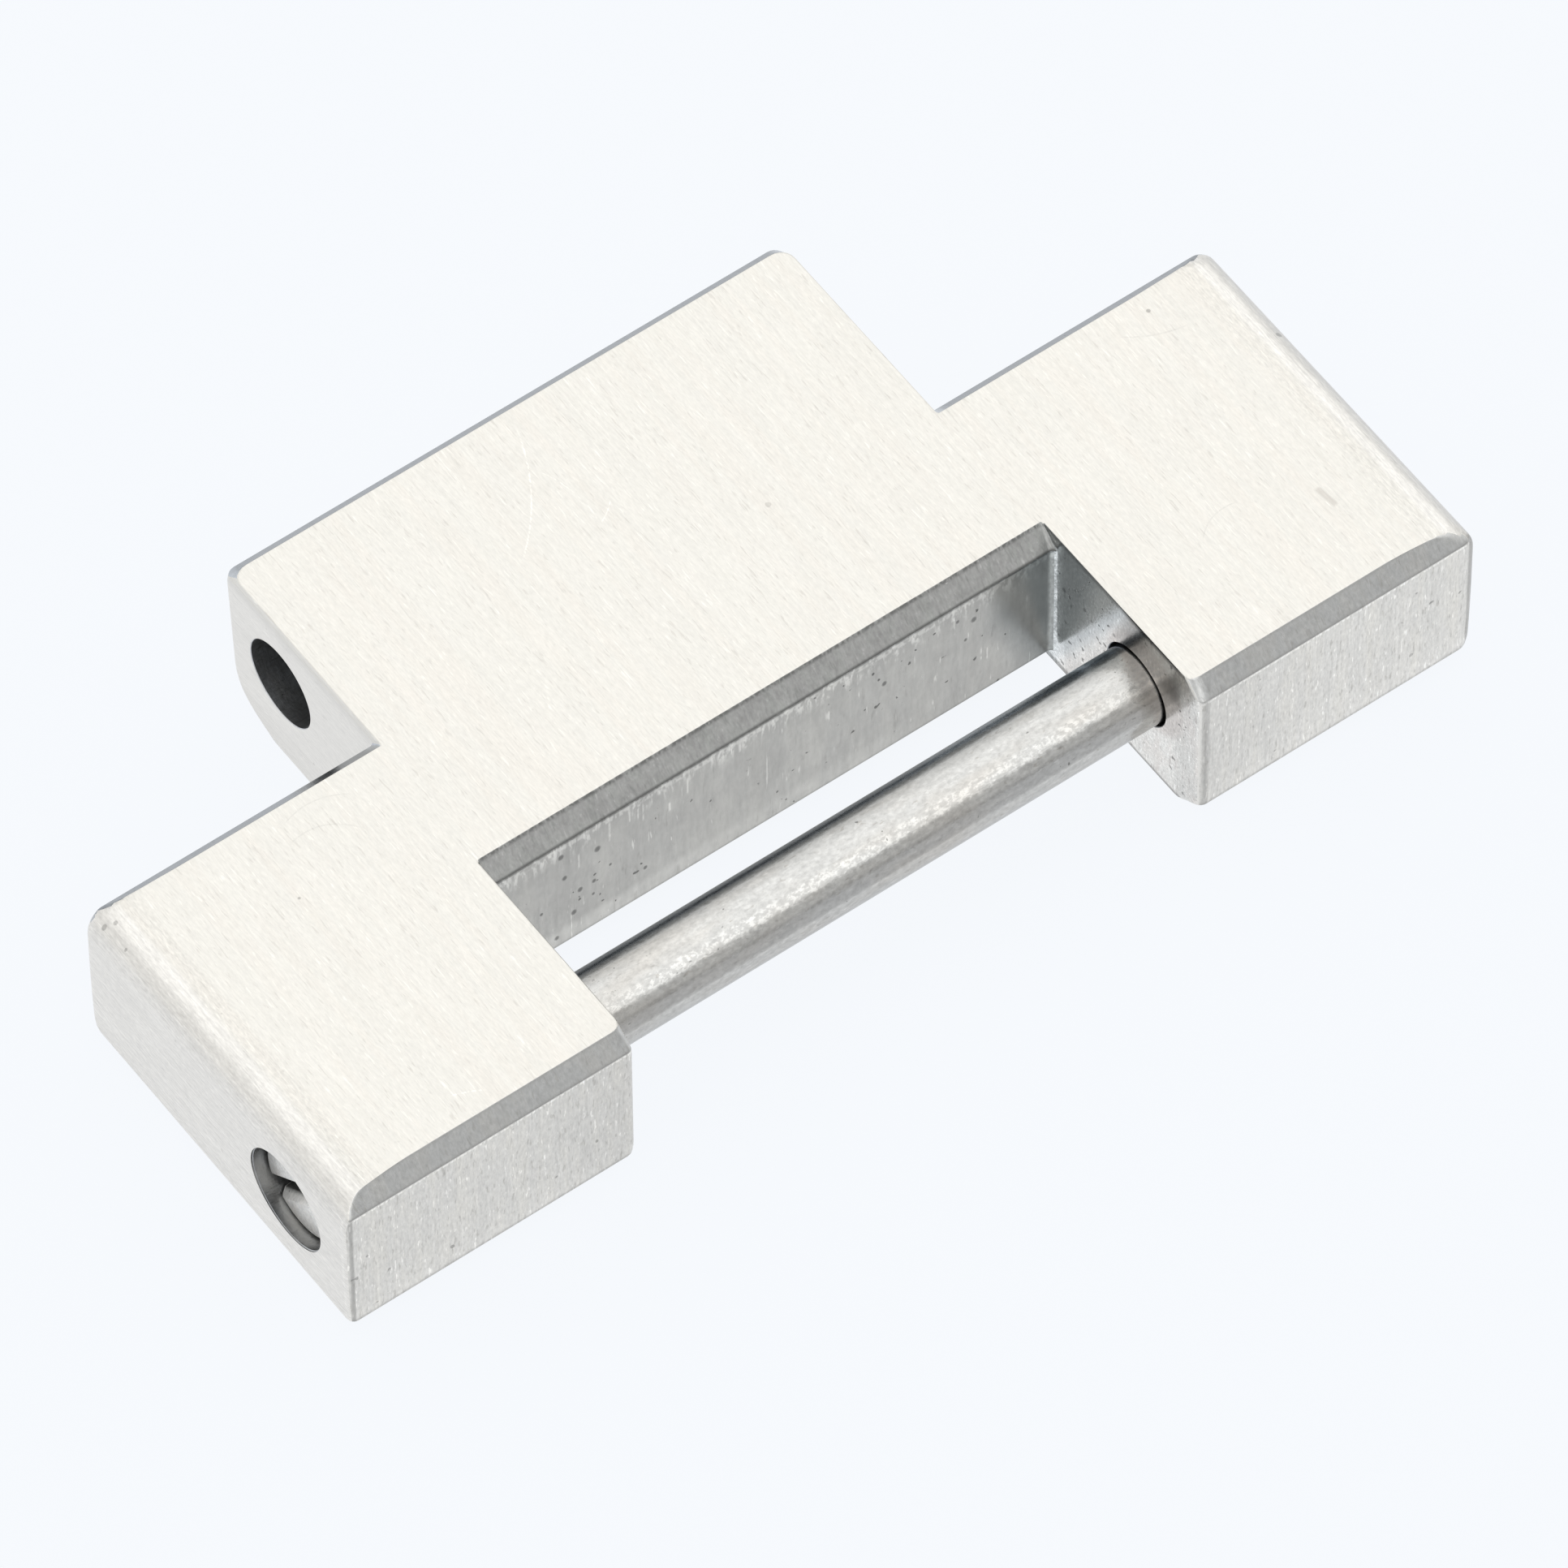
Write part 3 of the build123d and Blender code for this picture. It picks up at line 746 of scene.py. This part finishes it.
def backChamferPaintedShadeFade(x, y, z, streak, grain):
    # the chamfer's painted shade fades towards the rounded corners of the tongue and of the ears
    return dict(factor=1 + abs(abs(x) - 5.43).ramp(0.28, 0.02).larger(abs(x).ramp(10.70, 10.95)) * 0.9)


def boreTonesAndPaintedLight(x, y, z, streak, grain):
    # the bore in the tongue is lighter than the screw's hole; the screw's head recess has painted light at its
    # front and painted shade elsewhere
    # painted light at the front of the head's recess, painted shade elsewhere in it
    recess = x.ramp(-10.0, -10.3) * (y.ramp(-4.0, -4.7) * 0.60 - 0.16)
    return dict(factor=1 + y.ramp(0.0, 1.0) * 0.40 + recess)


def gapWearAndPaintedLight(x, y, z, streak, grain):
    # a painted highlight line and upright nicks under the chamfer, pits and single scratches, a painted light
    # band at the foot with a painted shadow line on its lower side, painted cool shade at the right end that
    # is wider higher up, and a painted highlight on the rounded corner
    top = link["thickness"] - link["gapTop"]
    # a painted highlight line under the chamfer
    line = abs(z - (top - 0.09)).ramp(0.09, 0.03) * grain.ramp(0.40, 0.56) * 0.38
    comb = streak.ramp(0.48, 0.61) * z.ramp(top - 0.55, top - 0.10) * grain.ramp(0.38, 0.56) * 0.50
    nicks = strongest([nick(x, z, *mark) for mark in gapNicks]) * grain.ramp(0.30, 0.50) * 0.42
    squashed = z * gapPitSquash
    pits = strongest([spot(x, squashed, (at, level * gapPitSquash), size * gapPitGrowth, pitEdge)
                      for at, level, size in gapPits])
    # painted shade towards the right end, wider higher up
    end = (x + z.smaller(2.1) * 0.4).ramp(4.70, 5.65)
    # a painted light band at the foot, lightest on the left and shaded on the right
    foot = abs(z - 0.60).ramp(0.34, 0.08) * (x.ramp(-0.6, -2.2) * 0.13 + x.ramp(4.0, 1.6) * 0.17 - 0.05)
    # a painted shadow line below it
    border = z.ramp(0.48, 0.42) * 0.24
    # a painted highlight on the rounded corner
    corner = x.ramp(5.34, 5.40) * (0.50 + grain.ramp(0.42, 0.60) * 0.25)
    factor = (1 + line.larger(comb).larger(nicks) + foot - border) * (1 - pits * 0.62)
    return dict(factor=factor * (1 - end * 0.50) * (1 + corner), paintedCoolShade=end * 0.7)


def earWearAndPaintedLight(x, y, z, streak, grain):
    # painted shade above a slanting border, on the upper front and towards the front edge, a darker, warmer
    # patch below it, brown soiling round the screw hole, darker along the top edge, lighter low down beside
    # the gap wall, a painted shadow line at the foot, and painted highlight lines in the gap's corner and
    # along the front edge
    slant = y + z * 0.566
    # painted shade above a slanting border, with a painted cool tint
    shadow = slant.ramp(-1.95, -1.60)
    # painted shade on the upper front
    paintedRimShade = y.ramp(-3.1, -3.9) * y.ramp(-5.25, -4.9) * z.ramp(2.2, 2.7)
    patch = slant.ramp(-1.80, -2.10) * y.ramp(-3.7, -3.1)
    ring = spot(y, z, (screw["y"] - 0.25, screw["z"] + 0.35), 1.15, 0.75)
    # dullness: the painted shade, a darker strip towards the front edge, and the soiling ring
    dullMarksAndPaintedShade = strongest([shadow * 0.30, paintedRimShade * 0.61, y.ramp(-4.85, -5.10) * 0.15, ring * 0.10])
    lip = z.ramp(3.30, 3.42) * 0.35
    # a painted highlight line in the gap's corner
    corner = y.ramp(-1.92, -1.89) * (grain.ramp(0.42, 0.60) * 0.22 - 0.04)
    # a painted shadow line at the foot
    foot = (z - y.ramp(-3.6, -2.6) * 0.05).ramp(0.13, 0.06) * 0.52
    lighterLowCorner = y.ramp(-2.10, -1.98) * z.ramp(0.95, 0.70) * z.ramp(0.14, 0.20) * 0.28
    # a painted highlight line along the front edge
    paintedEdgeHighlight = y.ramp(-5.47, -5.52) * z.ramp(0.6, 1.4, 0.06, 0.16)
    pits = strongest([spot(y, z, (at, level), size, pitEdge) for at, level, size in earPits])
    mottled = 1 + grain.ramp(0.52, 0.68) * 0.20 - grain.ramp(0.44, 0.30) * 0.18
    factor = (1 - dullMarksAndPaintedShade - patch * 0.06 - lip) * (1 + corner + paintedEdgeHighlight + lighterLowCorner - foot)
    return dict(factor=factor * (1 - pits * 0.5) * mottled,
                soiled=(ring * 0.9).larger(patch * 0.45), paintedCoolShade=shadow * 0.6)


def pinWearAndPaintedLight(x, y, z, streak, grain):
    # painted shade behind and below the turned surface, with a cooler upper limb, leaves its top brightest;
    # a painted glint runs along one side; specks gather towards both ends
    ry, rz = (y - screw["y"]) / screw["shankRadius"], (z - screw["z"]) / screw["shankRadius"]
    away = ry * ry + rz * rz
    shank = away.ramp(1.10, 1.02) * x.ramp(-9.60, -9.50)

    def towards(angle):
        return ry * math.cos(math.radians(angle)) + rz * math.sin(math.radians(angle))

    # the lit stripe along the top is kept out of the painted shade behind
    paintedLitStripe = towards(40).ramp(0.93, 0.985) * x.ramp(0.5, 3.0) * 0.85
    behind = towards(60).ramp(0.82, 0.96) * (1 - paintedLitStripe) * 0.22
    # painted shade on the upper limb, a darker line along it, and painted shade below and under the pin
    limb = towards(20).ramp(0.55, 0.97) * (0.62 - x.ramp(0.5, 3.2) * 0.58)
    line = towards(20).ramp(0.90, 0.985) * (0.42 - x.ramp(3.0, 4.6) * 0.30)
    below = towards(158).ramp(0.962, 0.995) * 0.37
    under = towards(215).ramp(0.55, 0.85) * 0.19 + towards(215).ramp(0.88, 0.97) * 0.24
    dullMarksAndPaintedShade = 1 - (1 - strongest([behind, limb, below, under])) * (1 - line)
    # a painted glint streak, broken up by the grain
    paintedGlint = towards(125).ramp(0.978, 0.996) * grain.ramp(0.46, 0.61)
    specks = abs(x).ramp(3.9, 5.4) * grain.ramp(0.58, 0.70)
    brown = x.ramp(4.6, 5.5) * grain.ramp(0.40, 0.65) * 0.7
    # the head's face and the worn side of its slot are lighter; the slot's depth is painted shade
    head = x.ramp(-9.9, -10.1)
    # painted shade in the slot's depth
    slot = x.ramp(-10.68, -10.60) * away.ramp(1.45, 1.35)
    factor = 1 + (paintedGlint * 0.20 - dullMarksAndPaintedShade - specks * 0.30) * shank + head * (0.24 - slot * 0.95)
    # a painted cool tint on the upper limb
    paintedCoolShade = towards(20).ramp(0.55, 0.9) * shank
    return dict(factor=factor, soiled=brown * 0.9, paintedCoolShade=paintedCoolShade, rough=head * 0.16)


# the link body's materials, by zone
finishes = dict(
    along=("steelBrushedAlong", satinAlong, topWearAndPaintedLight),
    upright=("steelBrushedUpright", satinUpright, frontWearAndPaintedLight),
    frontChamfer=("steelGroundChamfer", groundChamfer, frontChamferBordersAndPaintedLight),
    hole=("steelBoreWallPaintedShade", boreWall, boreTonesAndPaintedLight),
    gapWall=("steelMilledGapWallPaintedShade", milledGapWallWithPaintedShade, gapWearAndPaintedLight),
    innerEar=("steelInnerEarWall", innerEarWall, earWearAndPaintedLight),
    backChamfer=("steelBackChamferPaintedShade", backChamfer, backChamferPaintedShadeFade),
    gapChamfer=("steelGapChamfer", gapChamfer, gapChamferNicksAndPaintedShade),
)
sharpAngles = dict(link=30, screw=35)


def emptySlots(piece):
    for zone in zones:
        piece.data.materials.append(None)


print("building the link body")
body = buildLinkBody(link)
finishZones(body, link, facing)
emptySlots(body)
for tool in (holeTool(holes, link, screw), boreTool(holes, link)):
    emptySlots(tool)
    holeNumbers = np.full(len(tool.data.polygons), zones["hole"], np.int32)
    tool.data.polygons.foreach_set("material_index", holeNumbers)
    cut(body, tool)
toMetres(body, sharpAngles["link"])
for zone, slot in zones.items():
    body.data.materials[slot] = brushedSteel(*finishes[zone])
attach(body, "link")
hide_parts("link_body")

print("building the screw pin")
pin = buildScrew(screw)
toMetres(pin, sharpAngles["screw"])
pin.data.materials.clear()
pin.data.materials.append(brushedSteel("steelTurnedPin", pinSteel, pinWearAndPaintedLight))
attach(pin, "screw")
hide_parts("screw_pin")

# studio: a pale glowing floor under a soft sky, and the camera; lengths in metres
studio = dict(
    floorColour=(0.940, 0.965, 1.0), floorShade=0.03, floorGlow=0.948, floorRoughness=0.9, floorSpecular=0.1,
    floorSize=3.0, floorLevel=-0.00001,
    skyColour=(0.985, 0.997, 1.005, 1.0), skyHigh=1.27, skySide=1.05, skyFront=0.60,
    frontEdge=(-0.70, -0.10), highEdge=(0.50, 0.62),                    # where the sky changes, as directions
    cameraPlace=(-0.09209, -0.12977, 0.22723), cameraRight=(0.80700, -0.59050, -0.00500),
    cameraUp=(0.48650, 0.66020, 0.57230), cameraBack=(-0.33460, -0.46430, 0.82010),
    imageWidth=1932, focalPixels=21470.6, sensorWidth=36.0, nearest=0.01, farthest=20.0,
)


def buildFloor(s):
    # one triangle, so that no seam of the glowing floor runs under the link; clear when seen from below
    half, level = s["floorSize"], s["floorLevel"]
    corners = ((-2 * half, -half, level), (2 * half, -half, level), (0, 2 * half, level))
    piece = newPiece("studioFloor", corners, [[0, 1, 2]])
    material, graph = newGraph("floorPale")
    matte = graph.node("ShaderNodeBsdfPrincipled", {}, {
        "Base Color": [part * s["floorShade"] for part in s["floorColour"]] + [1.0],
        "Roughness": s["floorRoughness"], "Specular IOR Level": s["floorSpecular"],
        "Emission Color": s["floorColour"] + (1.0,), "Emission Strength": s["floorGlow"]})
    clear = graph.node("ShaderNodeBsdfTransparent")
    fromBelow = graph.node("ShaderNodeNewGeometry", output="Backfacing")
    surface = graph.node("ShaderNodeMixShader", {}, {0: fromBelow, 1: matte, 2: clear})
    graph.node("ShaderNodeOutputMaterial", {}, {"Surface": surface})
    piece.data.materials.append(material)
    return piece


def buildSky(s):
    # bright overhead, dimmer at the sides and dimmest in front
    world = bpy.data.worlds.new("softStudio")
    bpy.context.scene.world = world
    world.use_nodes = True
    graph = Graph(world.node_tree)
    direction = graph.node("ShaderNodeTexCoord", output="Generated")
    parts = graph.node("ShaderNodeSeparateXYZ", {}, {0: direction})
    low = graph.also(parts, 1).ramp(*s["frontEdge"], s["skyFront"], s["skySide"])
    strength = low + (s["skyHigh"] - low) * graph.also(parts, 2).ramp(*s["highEdge"])
    background = graph.node("ShaderNodeBackground", {}, {"Color": s["skyColour"], "Strength": strength})
    graph.node("ShaderNodeOutputWorld", {}, {"Surface": background})


def placeCamera(s):
    data = bpy.data.cameras.new("photoCamera")
    camera = bpy.data.objects.new("photoCamera", data)
    bpy.context.scene.collection.objects.link(camera)
    data.sensor_width = s["sensorWidth"]
    data.lens = s["sensorWidth"] * s["focalPixels"] / s["imageWidth"]
    data.clip_start, data.clip_end = s["nearest"], s["farthest"]
    # the three rounded directions are made exactly square to each other
    axes = np.array([s["cameraRight"], s["cameraUp"], s["cameraBack"]])
    left, _, right = np.linalg.svd(axes.T)
    matrix = np.eye(4)
    matrix[:3, :3] = left @ right
    matrix[:3, 3] = s["cameraPlace"]
    camera.matrix_world = matrix.T.tolist()
    bpy.context.scene.camera = camera
    bpy.context.scene.view_settings.view_transform = "Standard"


print("setting up the studio")
floor = buildFloor(studio)
buildSky(studio)
placeCamera(studio)
